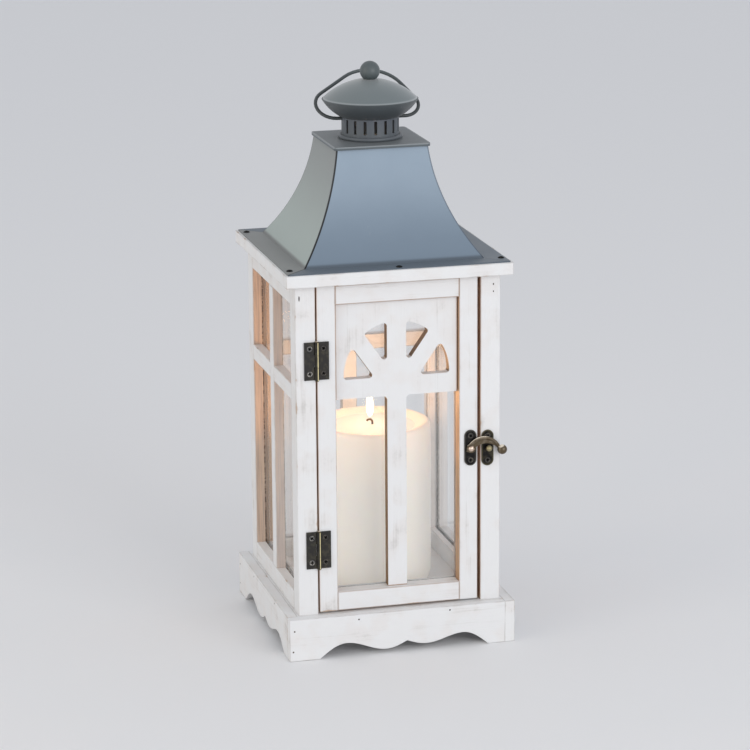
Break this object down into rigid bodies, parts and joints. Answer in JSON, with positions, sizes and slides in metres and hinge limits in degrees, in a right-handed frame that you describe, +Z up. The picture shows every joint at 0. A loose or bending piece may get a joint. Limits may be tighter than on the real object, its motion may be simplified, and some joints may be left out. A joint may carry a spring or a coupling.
{
  "type": "candle lantern",
  "caption": "Square timber candle lantern with a glazed fretwork door, scalloped base, swept metal roof, vented cap and a swinging wire handle.",
  "frame": {"origin": "centre of the base, on the surface that the lantern stands on", "axes": "+Z up; the door faces -Y, with its hinges on the -X side and its latch on the +X side"},
  "size_m": [0.184, 0.184, 0.4571],
  "materials": {
    "white_paint": "satin",
    "glass": "gloss",
    "roof_metal": "satin",
    "black_iron": "satin",
    "old_brass": "satin",
    "wax": "satin",
    "wick": "matte"
  },
  "bodies": {
    "lantern": {"skirt_front": "white_paint", "skirt_right": "white_paint", "skirt_back": "white_paint", "skirt_left": "white_paint", "floor_board": "white_paint", "post_front_left": "white_paint", "post_front_right": "white_paint", "post_back_left": "white_paint", "post_back_right": "white_paint", "sill_rail_left": "white_paint", "sill_rail_right": "white_paint", "sill_rail_back": "white_paint", "head_rail_left": "white_paint", "head_rail_right": "white_paint", "head_rail_back": "white_paint", "mullion_left": "white_paint", "mullion_right": "white_paint", "mullion_back": "white_paint", "crossbar_left": "white_paint", "crossbar_right": "white_paint", "crossbar_back": "white_paint", "glass_left": "glass", "glass_right": "glass", "glass_back": "glass", "cornice_board": "white_paint", "frame_screws": "black_iron", "hinge_upper_post_leaf": "black_iron", "hinge_lower_post_leaf": "black_iron", "hinge_pins": "old_brass", "hinge_screws_post": "black_iron", "latch_post_plate": "old_brass", "latch_screws_post": "black_iron", "roof_front": "roof_metal", "roof_right": "roof_metal", "roof_back": "roof_metal", "roof_left": "roof_metal", "roof_screws": "black_iron", "crown_plate": "roof_metal", "vent_neck": "roof_metal", "cap_bowl": "roof_metal", "cap_dome": "roof_metal", "finial_ball": "roof_metal", "finial_nut": "roof_metal", "candle": "wax", "wick": "wick"},
    "door": {"door_stile_hinge": "white_paint", "door_stile_latch": "white_paint", "door_rail_top": "white_paint", "door_rail_bottom": "white_paint", "fret_panel": "white_paint", "door_glass": "glass", "hinge_upper_door_leaf": "black_iron", "hinge_lower_door_leaf": "black_iron", "hinge_screws_door": "black_iron", "latch_door_plate": "old_brass", "latch_rivet": "old_brass", "latch_screws_door": "black_iron"},
    "latch_arm": {"latch_arm": "old_brass"},
    "handle": {"handle_bail": "roof_metal"}
  },
  "joints": [
    {"name": "door_hinge", "type": "hinge", "parent": "lantern", "child": "door", "pos_m": [-0.0657, -0.08405, 0.166], "axis": [0, 0, -1], "range_deg": [0, 175]},
    {"name": "latch_pivot", "type": "hinge", "parent": "door", "child": "latch_arm", "pos_m": [0.05785, -0.085, 0.1605], "axis": [0, -1, 0], "range_deg": [0, 120]},
    {"name": "handle_pivot", "type": "hinge", "parent": "lantern", "child": "handle", "pos_m": [0, 0, 0.4126], "axis": [0.9976, -0.0698, 0], "range_deg": [-55, 157]}
  ]
}
